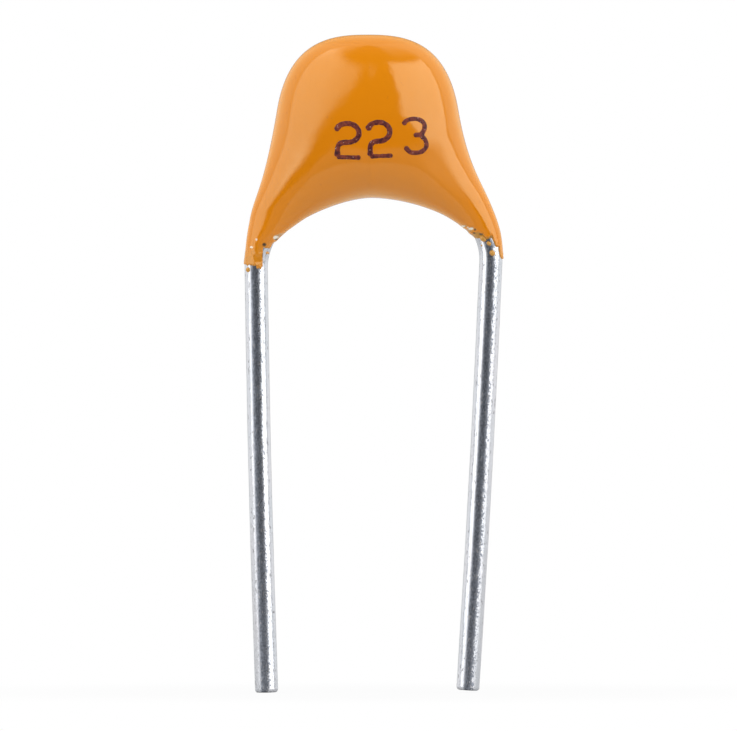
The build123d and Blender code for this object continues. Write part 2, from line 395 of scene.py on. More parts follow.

# %% [markdown]
# ## Where the coating stops
# The epoxy ends on each wire in a ragged line, with bare nicks in it and loose bits below it.
# Near it lie small dark spots, nearly black, of which the one in the pit on the left wire is
# painted shade, and small pale spots that are painted glints. All of it is placed as seen from
# the front, from the wire's bend. A spot is an ellipse: its place across and up, then half its
# width and half its height. The back has a plainer line of its own. How far a point of the
# film lies above the line decides its thickness.

# %% Ragged ends
edge_width = 0.035
edge_waver, waver_size = 0.012, 0.06
rim_swelling = 0.4
dive = 0.03
ends = {
    "left_wire": {
        "front": [
            (-0.25, -0.50), (-0.05, -0.525), (0.005, -0.515), (0.03, -0.58), (0.12, -0.592), (0.15, -0.54),
            (0.165, -0.17), (0.19, -0.115), (0.25, -0.148), (0.32, -0.148), (0.36, -0.03),
        ],
        "back": [(-0.25, -0.50), (-0.12, -0.36), (0.0, -0.47), (0.1, -0.30), (0.22, -0.22), (0.36, -0.03)],
        "nicks": [(0.43, 0.085, 0.065, 0.06), (0.49, 0.13, 0.05, 0.04)],
        "bits": [(0.262, -0.245, 0.045, 0.035)],
        # Dark spots; the first, in the pit, is painted shade
        "dark_spots": [(0.185, -0.065, 0.036, 0.034), (0.165, -0.30, 0.02, 0.05), (0.435, 0.045, 0.028, 0.02)],
        # Pale spots: painted glints
        "fine_patches": [
            (0.415, 0.092, 0.045, 0.032), (-0.067, -0.118, 0.028, 0.018), (0.046, 0.049, 0.016, 0.018),
        ],
    },
    "right_wire": {
        "front": [
            (-0.60, 0.18), (-0.49, 0.115), (-0.40, 0.06), (-0.27, 0.028), (-0.183, -0.026),
            (-0.128, -0.096), (-0.085, -0.08), (-0.052, -0.015), (-0.02, -0.037), (0.024, -0.167),
            (0.078, -0.276), (0.133, -0.276), (0.165, -0.50), (0.252, -0.555),
        ],
        "back": [(-0.60, 0.18), (-0.4, 0.10), (-0.2, -0.05), (-0.05, -0.02), (0.08, -0.30), (0.252, -0.50)],
        "nicks": [(-0.39, 0.117, 0.03, 0.035), (-0.52, 0.18, 0.04, 0.028), (-0.66, 0.25, 0.05, 0.02)],
        "bits": [(-0.378, 0.02, 0.06, 0.035)],
        # Dark spots, nearly black
        "dark_spots": [(-0.237, 0.0, 0.036, 0.017), (-0.335, 0.10, 0.016, 0.022), (-0.345, 0.02, 0.018, 0.014)],
        # Pale spots: painted glints
        "fine_patches": [
            (-0.532, 0.187, 0.03, 0.018), (-0.406, 0.121, 0.032, 0.026), (-0.45, 0.155, 0.012, 0.012),
        ],
    },
}


def ripple(x, y, size, seed):
    """Smooth unevenness, mostly between -1 and 1: five crossed waves near one size."""
    total = np.zeros(np.broadcast(x, y).shape)
    for n in range(5):
        turn = 2.4 * n + seed
        pitch = 2 * np.pi / (size * (1 + 0.23 * n))
        total = total + np.sin(pitch * (x * np.cos(turn) + y * np.sin(turn)) + 1.7 * n * seed)
    return total / 3


def edge_height(line, x):
    """Height of a ragged line at given places across."""
    across, up = np.array(line).T
    return np.interp(x, across, up)


def ellipse_distance(x, z, spot):
    """One at an ellipse's rim and zero at its middle."""
    across, up, half_width, half_height = spot
    return np.sqrt(((x - across) / half_width) ** 2 + ((z - up) / half_height) ** 2)


def film_thickness(pin_name, x, z, front):
    """Share of the full film at places given from the bend; below zero the wire is bare.

    The distance above the ragged line, less the nicks and with the loose bits, rises as a
    square root, so that the film ends in a rounded rim. Surface tension draws the liquid back
    into a small swelling just behind that rim, a bell curve added to the film.
    """
    shape = ends[pin_name]
    uneven = edge_waver * ripple(x, z, waver_size, 0.7)
    above_front = z - edge_height(shape["front"], x) + uneven
    above_back = z - edge_height(shape["back"], x) + uneven
    above = np.where(front, above_front, above_back)
    for spot in shape["nicks"]:
        rim = (ellipse_distance(x, z, spot) - 1) * min(spot[2:])
        above = np.where(front, np.minimum(above, rim), above)
    for spot in shape["bits"]:
        rim = (1 - ellipse_distance(x, z, spot)) * min(spot[2:])
        above = np.where(front, np.maximum(above, rim), above)
    share = np.clip(above / edge_width, -1, 1)
    swelling = rim_swelling * np.exp(-(((above - edge_width) / edge_width) ** 2)) * np.clip(share, 0, 1)
    return np.where(share > 0, np.sqrt(np.maximum(share, 0)) + swelling, share * dive / film)


# %% [markdown]
# The two halves are worked out with the same formula and joined in the middle of the part.
# The rings run from the left wire over the dome to the right wire. Where the epoxy ran thin
# it set in lumps, and where it ran out the skin draws in under the metal. Three attributes on
# the mesh tell the material how thick the film is, where the dark spots lie, one of them
# painted shade in a pit, and where the painted glints lie.

# %% Coating surface
least_blend, blend_reach, body_blend = 0.01, 0.05, 0.16
leg_share, blend_share = 0.10, 0.12
body_start, body_run = 0.22, 0.2
least_squint = 0.6
lump_height, lump_size = 0.009, 0.15
skirt_cut = 0.12
leg_film = 0.45
spot_reach, spot_rise = 1.4, 1.6
# The second mark is for the dark spots, one of them painted shade in a pit, and the third for the painted
# glints.
mark_names = ("thickness", "dark_spot_share", "painted_glint_share")


def coating_rings(pin_name):
    """Rings of the skin from below one leg up to the middle, as stations x around x 3.

    The depth of the ribs grows from the root to the middle as an eased power of their share.
    The spine that the skin is measured from leaves the wire for the fullest place of the rib.
    Low on the leg lumps are added, as a ripple, and where the film has run out the oval
    shrinks. The marks come back beside the points, each between 0 and 1: the film's cover,
    less low on the leg, and how far inside a dark spot or a painted glint the point lies.
    Of the dark spots, the one in the pit on the left wire is painted shade.
    """
    share, inner, outer, on_wire = half_skin(pin_name)
    _, bend, _ = wire_route(pin_name)
    rib = outer - inner
    length = np.linalg.norm(rib, axis=1)
    across = rib / length[:, None]
    fullest = 0.5 + (fullest_share - 0.5) * share
    to_body = ease((share - body_start) / body_run)
    spine = on_wire * (1 - to_body) + fullest * to_body
    depth = root_half_width + (half_depth - root_half_width) * ease(share**depth_rise)
    angle = np.linspace(0, 2 * np.pi, around, endpoint=False)[None]
    offset = ((spine - fullest) * length)[:, None]
    far, near = ((1 - fullest) * length)[:, None], (fullest * length)[:, None]
    oval = oval_reach(offset, near, far, depth[:, None], angle)
    centre = inner + rib * spine[:, None]
    heading = unit(np.gradient(centre, axis=0))
    squint = np.abs(heading[:, 0] * across[:, 1] - heading[:, 1] * across[:, 0])[:, None]
    squint = np.maximum(squint, least_squint)
    cos, sin = np.cos(angle), np.sin(angle)

    def round_wire(radius):
        return 1 / np.sqrt((cos * squint / radius) ** 2 + (sin / radius) ** 2)

    on_surface = round_wire(wire_radius)
    x = centre[:, :1] + across[:, :1] * cos * on_surface - bend[0]
    z = centre[:, 1:] + across[:, 1:] * cos * on_surface - bend[1]
    cover = film_thickness(pin_name, x, z, sin > 0)
    wrapped = round_wire(wire_radius + film * cover)
    covered = np.clip(cover, 0, 1)
    low_on_leg = 1 - ease(share / leg_share)[:, None]
    oval = oval - skirt_cut * np.clip(-cover, 0, 1) * low_on_leg
    merge = blend_reach * covered + body_blend * ease(share / blend_share)[:, None]
    reach = smooth_larger(oval, wrapped, least_blend + merge)
    reach = reach + lump_height * ripple(x, 1.3 * z + sin, lump_size, 1.3) * low_on_leg * covered
    points = np.zeros((len(share), around, 3))
    points[..., 0] = centre[:, :1] + across[:, :1] * cos * reach
    points[..., 2] = centre[:, 1:] + across[:, 1:] * cos * reach
    points[..., 1] = -sin * reach
    marks = [covered * (1 - leg_film * low_on_leg)]
    # The dark spots, one of them painted shade in a pit, and the painted glints, on the front only.
    for kind in ("dark_spots", "fine_patches"):
        inside = [spot_reach - ellipse_distance(x, z, spot) for spot in ends[pin_name][kind]]
        marks.append(np.where(sin > 0, np.clip(np.max(inside, axis=0) * spot_rise, 0, 1), 0))
    return points, np.stack(marks, -1)


left_rings, left_marks = coating_rings("left_wire")
right_rings, right_marks = coating_rings("right_wire")
coating_grid = np.concatenate([left_rings, right_rings[-2::-1]])
coating_marks = np.concatenate([left_marks, right_marks[-2::-1]]).reshape(-1, len(mark_names))
coating_mesh = tube_mesh("epoxy_coating", coating_grid)
for n, mark in enumerate(mark_names):
    values = np.concatenate([coating_marks[:, n], [0, 0]])
    coating_mesh.attributes.new(mark, "FLOAT", "POINT").data.foreach_set("value", values)
coating = add_piece("epoxy_coating", coating_mesh, "coating")
for axis, low, high in zip("xyz", coating_grid.min((0, 1)), coating_grid.max((0, 1))):
    print(f"coating {axis}: {low:.3f} to {high:.3f} mm")

# %% [markdown]
# ## Stray beads
# A few beads of epoxy sit on the bare metal. Each is a lens: its top bulges above the wire and
# its underside lies just inside it, and both follow the wire's curve. A bead is placed as the
# ragged ends are, by its place across and up, and has half its width.

# %% Beads
bead_sunk = 0.012
bead_bulge, bead_lift = 0.8, 0.008
bead_pole = 0.08
side_limit = 0.95
beads = {
    "left_wire": [(-0.16, -0.61, 0.058)],
    "right_wire": [
        (-0.207, -0.095, 0.074), (-0.078, -0.202, 0.052), (-0.002, -0.409, 0.066), (-0.237, -0.243, 0.026),
    ],
}


def bead_grid(pin_name, across, up, size, rings=14, around_bead=28):
    """A lens on the wire, from its crown to its underside.

    Each ring is a circle in the unrolled surface of the wire: its place along the axis, its
    turn round the axis, and a height that falls from the crown as a half ellipse.
    """
    route, bend, _ = wire_route(pin_name)
    height = bend[1] + up
    axis_x = np.interp(height, route[:, 1], route[:, 0])
    turn = np.arcsin(np.clip((bend[0] + across - axis_x) / wire_radius, -side_limit, side_limit))
    polar = np.linspace(bead_pole, np.pi - bead_pole, rings)[:, None]
    angle = np.linspace(0, 2 * np.pi, around_bead, endpoint=False)[None]
    along = size * np.sin(polar) * np.cos(angle)
    round_it = turn + size * np.sin(polar) * np.sin(angle) / wire_radius
    above = (bead_bulge * size + bead_lift) * np.maximum(np.cos(polar), 0)
    below = bead_sunk * np.minimum(np.cos(polar), 0)
    radius = wire_radius - bead_sunk + above + below + 0 * angle
    axis = np.interp(height + along, route[:, 1], route[:, 0])
    return np.stack([axis + radius * np.sin(round_it), -radius * np.cos(round_it), height + along], -1)


def join(meshes, name):
    """One mesh from several."""
    parts = [in_scene(f"{name}_{n}", mesh) for n, mesh in enumerate(meshes)]
    with bpy.context.temp_override(active_object=parts[0], selected_editable_objects=parts):
        bpy.ops.object.join()
    mesh = parts[0].data
    bpy.data.objects.remove(parts[0])
    mesh.name = name
    return mesh


bead_meshes = [tube_mesh("bead", bead_grid(pin, *spot)) for pin, spots in beads.items() for spot in spots]
drops = add_piece("epoxy_beads", join(bead_meshes, "epoxy_beads"), "coating_drops")

# %% [markdown]
# ## The wires
# A wire is a circle carried along its route. Tin that was dipped or plated is never quite
# even, so the radius wavers by a thousandth of a millimetre, a long waver and a short one,
# which bends the edges of the reflections. The cut tip is flat with a rounded rim. Each wire
# is rolled a few degrees, and its UV map with it, because the darker strip painted down the
# front of the tin, a painted reflection of the dark room in front, faces another way on each.

# %% Wires
tip_rounding = 0.07
past_rim = 1.2
face_middle = 0.02
wire_around, wire_rings, rim_rings, face_rings = 72, 640, 10, 7
long_waver, long_size, long_turn = 0.0012, 1.4, 1.5
short_waver, short_size, short_turn = 0.0003, 0.35, 1.1
even_run = 0.1


def wire_grid(pin_name, seed, roll):
    """Rings along a wire: its axis, and in each ring a circle of uneven radius.

    The first rings form the cut face and its rounded rim: a quarter circle brings the radius
    from the flat face out to the full wire. The roll, in degrees, is where a ring starts.
    """
    route, _, _ = wire_route(pin_name)
    axis, run = spread(route, wire_rings)
    rim = np.linspace(0, np.pi / 2, rim_rings)
    flat = np.linspace(face_middle, wire_radius - tip_rounding, face_rings)
    tip_run = np.concatenate([np.zeros(len(flat) - 1), tip_rounding * (1 - np.cos(rim))])
    tip_radius = np.concatenate([flat[:-1], wire_radius - tip_rounding * (1 - np.sin(rim))])
    body_run = run[run > tip_rounding * past_rim]
    along = np.concatenate([tip_run, body_run])
    radius = np.concatenate([tip_radius, np.full(len(body_run), wire_radius)])[:, None]
    centre = read_at(along, run, axis)
    heading = unit(read_at(along, run, np.gradient(axis, run, axis=0)))
    angle = np.linspace(0, 2 * np.pi, wire_around, endpoint=False)[None] + np.radians(roll)
    settled = ease((along - tip_rounding) / even_run)[:, None]
    uneven = long_waver * ripple(along[:, None], long_turn * np.cos(angle), long_size, seed)
    uneven = uneven + short_waver * ripple(along[:, None], short_turn * np.sin(angle), short_size, seed + 1)
    radius = radius * (1 + 0 * angle) + uneven * settled
    side = np.stack([heading[:, 1], -heading[:, 0]], -1)
    grid = np.zeros((len(along), wire_around, 3))
    grid[..., 0] = centre[:, :1] + side[:, :1] * radius * np.cos(angle)
    grid[..., 2] = centre[:, 1:] + side[:, 1:] * radius * np.cos(angle)
    grid[..., 1] = -radius * np.sin(angle)
    return grid, along


girth = 2 * np.pi * wire_radius
# A row holds the wire's pin, its solid, the seed of its wavers and its roll in degrees
wire_rows = (("left_wire", "lead_left", 1.0, 3.8), ("right_wire", "lead_right", 2.3, -3.8))
wires = []
for pin_name, solid, seed, roll in wire_rows:
    name = f"tinned_{pin_name}"
    grid, along = wire_grid(pin_name, seed, roll)
    wires.append(add_piece(name, tube_mesh(name, grid, along, girth), solid))
    print(f"{pin_name} lowest point {grid[..., 2].min():.4f} mm")

# %% [markdown]
# ## The printed value code
# The digits are pen strokes of dark ink, laid on the skin of the dome. The height of the skin
# at a place comes from the nearest point of the coating's own grid and its slope.

# %% Skin under the ink
skin_ahead, skin_beside = -0.6, 1.6
normals = np.cross(
    np.roll(coating_grid, -1, 1) - np.roll(coating_grid, 1, 1), np.gradient(coating_grid, axis=0)
)
facing = (coating_grid[..., 1] < skin_ahead) & (np.abs(coating_grid[..., 0]) < skin_beside)
skin_points, skin_normals = coating_grid[facing], normals[facing]
print("skin points under the digits:", len(skin_points))


def skin_depth(x, z):
    """The front skin's y at given places: the tangent plane of the nearest skin point."""
    flat_x, flat_z = x.ravel(), z.ravel()
    distance = (flat_x[:, None] - skin_points[:, 0]) ** 2 + (flat_z[:, None] - skin_points[:, 2]) ** 2
    nearest = distance.argmin(1)
    point, normal = skin_points[nearest], skin_normals[nearest]
    rise = (flat_x - point[:, 0]) * normal[:, 0] + (flat_z - point[:, 2]) * normal[:, 2]
    return (point[:, 1] - rise / normal[:, 1]).reshape(x.shape)


# %% [markdown]
# Each digit is drawn first in a box of its own, one unit wide and one unit high, as the lines
# that the middle of the pen follows. A two is a hook that runs into a neck, and a bar. A three
# is two bowls and a short bar between them.

# %% Digit shapes
end_pull = 1.2


def through(points, end_tangent=None, count=60):
    """Smooth curve through points, one Bezier span from each to the next.

    The tangent at a point runs along the line between its neighbours. The last one can be
    given instead, as a direction.
    """
    points = np.array(points, float)
    tangents = np.gradient(points, axis=0)
    if end_tangent is not None:
        last_step = np.linalg.norm(points[-1] - points[-2])
        tangents[-1] = unit(np.array(end_tangent, float)) * last_step * end_pull
    spans = []
    for a, b, ta, tb in zip(points, points[1:], tangents, tangents[1:]):
        spans.append(bezier(a, a + ta / 3, b - tb / 3, b, count)[:-1])
    return np.concatenate([*spans, points[-1:]])


two_hook = [
    (-0.12, 0.80), (0.09, 0.97), (0.41, 1.03), (0.74, 1.0), (0.98, 0.88), (1.05, 0.72), (0.95, 0.575),
    (0.74, 0.485), (0.5, 0.455),
]
two_neck = [np.array(p) for p in ((0.5, 0.455), (0.15, 0.455), (0, 0.4), (0, 0.22))]
two_curve = np.concatenate([through(two_hook, (-1, 0)), bezier(*two_neck)[1:], [(0, 0.12), (0, 0)]])
two_bar = np.array([(-0.02, 0.0), (0.5, 0.0), (1.16, 0.0)])
three_top = through([
    (-0.07, 0.85), (0.07, 0.975), (0.36, 1.035), (0.66, 1.02), (0.89, 0.915), (0.935, 0.77), (0.86, 0.64),
    (0.75, 0.54),
])
three_bowl = through([
    (0.75, 0.54), (0.95, 0.41), (1.02, 0.28), (0.99, 0.16), (0.80, 0.04), (0.51, 0.0), (0.24, 0.03),
    (0.01, 0.19),
])
three_bar = np.array([(0.78, 0.55), (0.58, 0.545), (0.42, 0.54)])
print("points along a two's curve:", len(two_curve))

# %% [markdown]
# A stroke is a flat ribbon with rounded ends, a hundredth of a millimetre proud of the skin.
# The ink ran together a little where the pen started and stopped, so the ends are blobs. The
# digits differ in width and stand in a row that is not quite straight.

# %% Pen strokes
digit_widths = np.array([0.437, 0.418, 0.463])
digit_height = 0.71
first_digit = np.array([chip_x - 0.66, chip_z - 0.872])
digit_steps = np.array([(0, 0), (0.720, 0.014), (1.462, 0.092)])
digit_turns = np.radians([-1.5, 2.0, 0.0])
curve_width, bar_width, thin_width = 0.112, 0.088, 0.094
blob_share = 0.16
pen_waver, pen_waver_size = 0.08, 0.12
least_tip = 0.01
ink_proud, ink_sunk = 0.012, 0.02


def stroke_grid(skeleton, width, origin, turn, seed, rings=150, around_stroke=20):
    """A pen stroke on the skin, as rings along its skeleton.

    A ring is a flat loop across the stroke: out along the top, which lies proud of the skin,
    and back underneath. Its half width wavers a little, swells to a blob near both ends, and
    at the very end shrinks as a half circle does.
    """
    line, run = spread(skeleton, rings)
    cos, sin = np.cos(turn), np.sin(turn)
    line = origin + np.stack([line[:, 0] * cos - line[:, 1] * sin, line[:, 0] * sin + line[:, 1] * cos], -1)
    heading = unit(np.gradient(line, axis=0))
    half = width / 2
    to_end = np.minimum(run, run[-1] - run) / half
    half = half * np.sqrt(np.maximum(1 - (1 - np.minimum(to_end, 1)) ** 2, least_tip))
    half = half * (1 + blob_share * np.exp(-((to_end - 1) ** 2)))
    half = half * (1 + pen_waver * ripple(run, run, pen_waver_size, seed))
    loop = np.linspace(0, 2 * np.pi, around_stroke, endpoint=False)
    across = half[:, None] * np.cos(loop)
    place = line[:, None] + across[..., None] * np.stack([-heading[:, 1], heading[:, 0]], -1)[:, None]
    bulge = np.abs(np.sin(loop))
    lift = np.where(np.sin(loop) > 0, ink_proud * bulge**0.5, -ink_sunk * bulge)
    y = skin_depth(place[..., 0], place[..., 1]) - lift
    return np.stack([place[..., 0], y, place[..., 1]], -1)


two = [(two_curve, curve_width), (two_bar, bar_width)]
three = [(three_top, thin_width), (three_bowl, thin_width), (three_bar, thin_width)]
stroke_meshes = []
for n, digit in enumerate([two, two, three]):
    for skeleton, width in digit:
        shape = skeleton * [digit_widths[n], digit_height]
        grid = stroke_grid(shape, width, first_digit + digit_steps[n], digit_turns[n], 1.0 + n)
        stroke_meshes.append(tube_mesh("stroke", grid))
ink = add_piece("value_digits", join(stroke_meshes, "value_digits"), "value_code")

# %% [markdown]
# ## Finishes
# Every finish is a small graph of nodes that works out colour, gloss and fine relief from the
# place on the part, so nothing is painted by hand and it looks right from any side. Writing
# out each node takes many lines, so a few helpers keep the graphs short. They make a node and
# fill its sockets with numbers, with colours or with the output of another node.

# %% Graph helpers


def fill(tree, socket, value):
    """Join a socket to another node's output or set it. A colour gets its alpha of 1."""
    if isinstance(value, bpy.types.NodeSocket):
        tree.links.new(value, socket)
    else:
        socket.default_value = (*value, 1) if socket.type == "RGBA" else value


def fill_inputs(tree, node, **inputs):
    """Fill a node's inputs by name, written with an underscore for each space."""
    for name, value in inputs.items():
        fill(tree, node.inputs[name.replace("_", " ")], value)


def add_node(tree, kind, options=(), **inputs):
    """A node with its options set and its inputs filled."""
    node = tree.nodes.new("ShaderNode" + kind)
    for option, value in dict(options).items():
        setattr(node, option, value)
    fill_inputs(tree, node, **inputs)
    return node


def arithmetic(tree, operation, *values):
    """The output of one arithmetic node."""
    node = add_node(tree, "Math", {"operation": operation})
    for socket, value in zip(node.inputs, values):
        fill(tree, socket, value)
    return node.outputs["Value"]


def eased(tree, value, start, end, low=0.0, high=1.0):
    """The value carried from start..end to low..high along a smooth step."""
    node = add_node(
        tree, "MapRange", {"interpolation_type": "SMOOTHSTEP"},
        Value=value, From_Min=start, From_Max=end, To_Min=low, To_Max=high,
    )
    return node.outputs["Result"]


def scaled(tree, value, low, high):
    """A value between 0 and 1 carried to low..high along a straight line."""
    return add_node(tree, "MapRange", Value=value, To_Min=low, To_Max=high).outputs["Result"]


def blended(tree, share, first, second):
    """Two colours mixed by a share. The node keeps its colours in sockets 6 and 7."""
    node = add_node(tree, "Mix", {"data_type": "RGBA"})
    for place, value in ((0, share), (6, first), (7, second)):
        fill(tree, node.inputs[place], value)
    return node.outputs[2]


def mixed_shaders(tree, share, first, second):
    """Two shaders mixed by a share."""
    node = add_node(tree, "MixShader", Fac=share)
    tree.links.new(first, node.inputs[1])
    tree.links.new(second, node.inputs[2])
    return node.outputs["Shader"]


def new_material(name):
    """A material, its node tree and its shader."""
    material = bpy.data.materials.new(name)
    material.use_nodes = True
    return material, material.node_tree, material.node_tree.nodes["Principled BSDF"]


def set_material(piece, material):
    """Give a piece one material."""
    piece.data.materials.clear()
    piece.data.materials.append(material)
    print(f"{piece.name}: {material.name}, {len(material.node_tree.nodes)} nodes")


# %% [markdown]
# ## One grain for all finishes
# Poured epoxy, dried ink, tin, fired clay and solder all have unevenness of their own size,
# and all of it can come from smooth noise. So one group holds the noise: it takes the size of
# a grain in millimetres, how far grains are drawn out along the wires, and the level above
# which a grain counts as a speck. It gives fine grain, broad clouds and specks.

# %% Grain group
cloud_ratio = 0.14
speck_ratio = 1.6
speck_edge = 0.035
grain_group = bpy.data.node_groups.new("grain", "ShaderNodeTree")
for name, default in (("Size", 0.2), ("Stretch", 1.0), ("Speck Level", 0.7)):
    socket = grain_group.interface.new_socket(name, in_out="INPUT", socket_type="NodeSocketFloat")
    socket.default_value = default
for name in ("Fine", "Broad", "Specks"):
    grain_group.interface.new_socket(name, in_out="OUTPUT", socket_type="NodeSocketFloat")
given = grain_group.nodes.new("NodeGroupInput")
result = grain_group.nodes.new("NodeGroupOutput")
place = add_node(grain_group, "TexCoord").outputs["Object"]
per_metre = arithmetic(grain_group, "DIVIDE", 1 / MM, given.outputs["Size"])
drawn_out = arithmetic(grain_group, "DIVIDE", per_metre, given.outputs["Stretch"])
factors = add_node(grain_group, "CombineXYZ", X=per_metre, Y=per_metre, Z=drawn_out).outputs["Vector"]
grains = add_node(grain_group, "VectorMath", {"operation": "MULTIPLY"})
grain_group.links.new(place, grains.inputs[0])
grain_group.links.new(factors, grains.inputs[1])
for name, ratio, detail in (("Fine", 1.0, 3.0), ("Broad", cloud_ratio, 2.0), ("Specks", speck_ratio, 1.0)):
    noise = add_node(grain_group, "TexNoise", Vector=grains.outputs["Vector"], Scale=ratio, Detail=detail)
    value = noise.outputs["Fac"]
    if name == "Specks":
        above = arithmetic(grain_group, "SUBTRACT", value, given.outputs["Speck Level"])
        value = eased(grain_group, above, 0.0, speck_edge)
    grain_group.links.new(value, result.inputs[name])
print("grain group:", len(grain_group.nodes), "nodes")


def grain(tree, size, stretch=1.0, speck_level=0.7):
    """The grain group placed in a material: its fine, broad and speck outputs."""
    node = add_node(tree, "Group", {"node_tree": grain_group})
    fill_inputs(tree, node, Size=size, Stretch=stretch, Speck_Level=speck_level)
    return node.outputs["Fine"], node.outputs["Broad"], node.outputs["Specks"]


def relief(tree, shader, height, depth):
    """Bump the shader's surface by a height between 0 and 1 times a depth in millimetres."""
    bump = add_node(tree, "Bump", Strength=1.0, Distance=depth * MM, Height=height)
    tree.links.new(bump.outputs["Normal"], shader.inputs["Normal"])


# %% [markdown]
# ## Epoxy
# The coating is a pigmented epoxy that cured to a high gloss. Under the gloss the orange is
# almost even: a little cloudy, with faint dark specks. A touch yellower towards the crown is
# painted light from above, and yellower again where the surface turns away from the eye is a
# painted sheen on the rim. A thin film lets the metal through, which turns it tan. Small dark
# spots are nearly black, and the one in the pit on the left wire is painted shade. Small pale
# spots are cream: painted glints. The gloss is mottled and has a faint orange peel, which is
# what makes the edges of the reflections waver.

# %% Epoxy material
body_orange, crown_orange = (0.73, 0.222, 0.003), (0.735, 0.234, 0.003)
# The second colour here is a painted sheen on the rim, paler and yellower, for where the surface turns away
# from the eye.
speck_orange, painted_rim_orange = (0.60, 0.17, 0.01), (0.80, 0.315, 0.006)
# The dark brown paints the dark spots, of which the one in the pit on the left wire is painted shade; the
# cream paints glints.
film_tan, dark_spot_brown, painted_glint_cream = (0.50, 0.24, 0.035), (0.045, 0.028, 0.016), (0.93, 0.88, 0.74)
# Painted light from above: between these heights the orange turns a touch yellower towards the crown.
painted_top_light_from, painted_top_light_to = (shoulder_z - 1.2) * MM, (shoulder_z + 1.1) * MM
cloud_share = 0.4
speck_strength = 0.35
tan_share = 0.85

orange, tree, shader = new_material("orange_epoxy")
fine, broad, specks = grain(tree, size=0.22, speck_level=0.73)
thickness, dark_spot_share, painted_glint_share = (
    add_node(tree, "Attribute", {"attribute_name": mark}).outputs["Fac"] for mark in mark_names
)
height = add_node(tree, "SeparateXYZ", Vector=add_node(tree, "TexCoord").outputs["Object"]).outputs["Z"]
# The clouds are mixed with painted light from above, which grows with height.
painted_top_light = eased(tree, height, painted_top_light_from, painted_top_light_to)
painted_top_light_part = arithmetic(tree, "MULTIPLY", painted_top_light, 1 - cloud_share)
clouds_and_top_light = arithmetic(tree, "MULTIPLY_ADD", broad, cloud_share, painted_top_light_part)
colour = blended(tree, clouds_and_top_light, body_orange, crown_orange)
colour = blended(tree, arithmetic(tree, "MULTIPLY", specks, speck_strength), colour, speck_orange)
# Painted sheen on the rim: paler, yellower orange where the surface turns away from the eye.
slant = add_node(tree, "LayerWeight", Blend=0.5).outputs["Facing"]
colour = blended(tree, eased(tree, slant, 0.3, 0.85), colour, painted_rim_orange)
colour = blended(tree, eased(tree, thickness, 0.0, 1.0, tan_share, 0.0), colour, film_tan)
# Dark spots, nearly black; the one in the pit on the left wire is painted shade.
colour = blended(tree, dark_spot_share, colour, dark_spot_brown)
# Painted glints: cream spots near the coating's ends.
colour = blended(tree, painted_glint_share, colour, painted_glint_cream)
fill_inputs(tree, shader, Base_Color=colour, Roughness=scaled(tree, broad, 0.05, 0.11), IOR=1.55)
fill_inputs(tree, shader, Specular_IOR_Level=scaled(tree, fine, 0.64, 0.88))
fill_inputs(tree, shader, Specular_Tint=(1.0, 0.98, 0.64))
relief(tree, shader, fine, depth=0.003)
set_material(coating, orange)

# %% [markdown]
# The beads are the same epoxy. They are thin all over, so their orange has the tan of the film
# in it, and their relief is deeper, because each bead set by itself.

# %% Bead material
bead_orange, tree, shader = new_material("bead_epoxy")
fine, _, _ = grain(tree, size=0.08)
colour = blended(tree, fine, (0.52, 0.24, 0.03), (0.66, 0.33, 0.06))
fill_inputs(tree, shader, Base_Color=colour, Roughness=scaled(tree, fine, 0.08, 0.22))
relief(tree, shader, fine, depth=0.006)
set_material(drops, bead_orange)

# %% [markdown]
# ## Ink
# The marking ink is a dark maroon, mottled, and thin places let some orange through. Pale
# points in its colour are painted glints, where the grainy ink catches the light.

# %% Ink material
# The third colour paints pale glints into the ink.
thick_ink, thin_ink, painted_ink_glint = (0.045, 0.006, 0.012), (0.22, 0.040, 0.02), (0.45, 0.30, 0.26)

maroon, tree, shader = new_material("maroon_ink")
fine, _, specks = grain(tree, size=0.07, speck_level=0.69)
colour = blended(tree, eased(tree, fine, 0.3, 0.7), thick_ink, thin_ink)
# Painted glints: pale points in the ink's colour.
colour = blended(tree, specks, colour, painted_ink_glint)
fill_inputs(tree, shader, Base_Color=colour, Roughness=scaled(tree, fine, 0.3, 0.6), Specular_IOR_Level=0.3)
relief(tree, shader, fine, depth=0.012)
set_material(ink, maroon)

# %% [markdown]
# ## Tinned wire
# Bright tin over steel. It is a mirror that is slightly out of focus: the plating has a fine
# grain drawn out along the wire, small grey pits, and a faint blue and violet cast from the
# oxide. Down the front runs a strip that is rougher and is painted darker, as a painted
# reflection of the dark room in front. It follows the wire, so it is placed by the wire's own
# UV map, whose first number is the way round in millimetres. One of its edges is smooth, and
# on the other a finer noise shifts the edge to and fro.

# %% Tin material
blue_tin, violet_tin, pit_grey = (0.57, 0.61, 0.65), (0.70, 0.68, 0.70), (0.34, 0.34, 0.35)
# The two dark colours paint the reflection of the dark room in front of the wire into the strip.
strip_shade_dark, strip_shade_pale = (0.13, 0.14, 0.165), (0.27, 0.29, 0.33)
strip_middle = 0.409
smooth_side, ragged_side = (0.135, 0.06), (-0.105, -0.075)
raggedness = 0.45
dull_roughness = 0.2

tin, tree, shader = new_material("tinned_steel")
fine, broad, specks = grain(tree, size=0.07, stretch=2.6, speck_level=0.66)
fine_patches, _, _ = grain(tree, size=0.035, stretch=1.5)
wrap = add_node(tree, "UVMap", {"uv_map": "wrap"}).outputs["UV"]
beside = arithmetic(tree, "SUBTRACT", add_node(tree, "SeparateXYZ", Vector=wrap).outputs["X"], strip_middle)
shift = arithmetic(tree, "SUBTRACT", fine_patches, 0.5)
ragged = arithmetic(tree, "MULTIPLY_ADD", shift, raggedness, beside)
painted_dark_strip = arithmetic(tree, "MULTIPLY", eased(tree, beside, *smooth_side), eased(tree, ragged, *ragged_side))
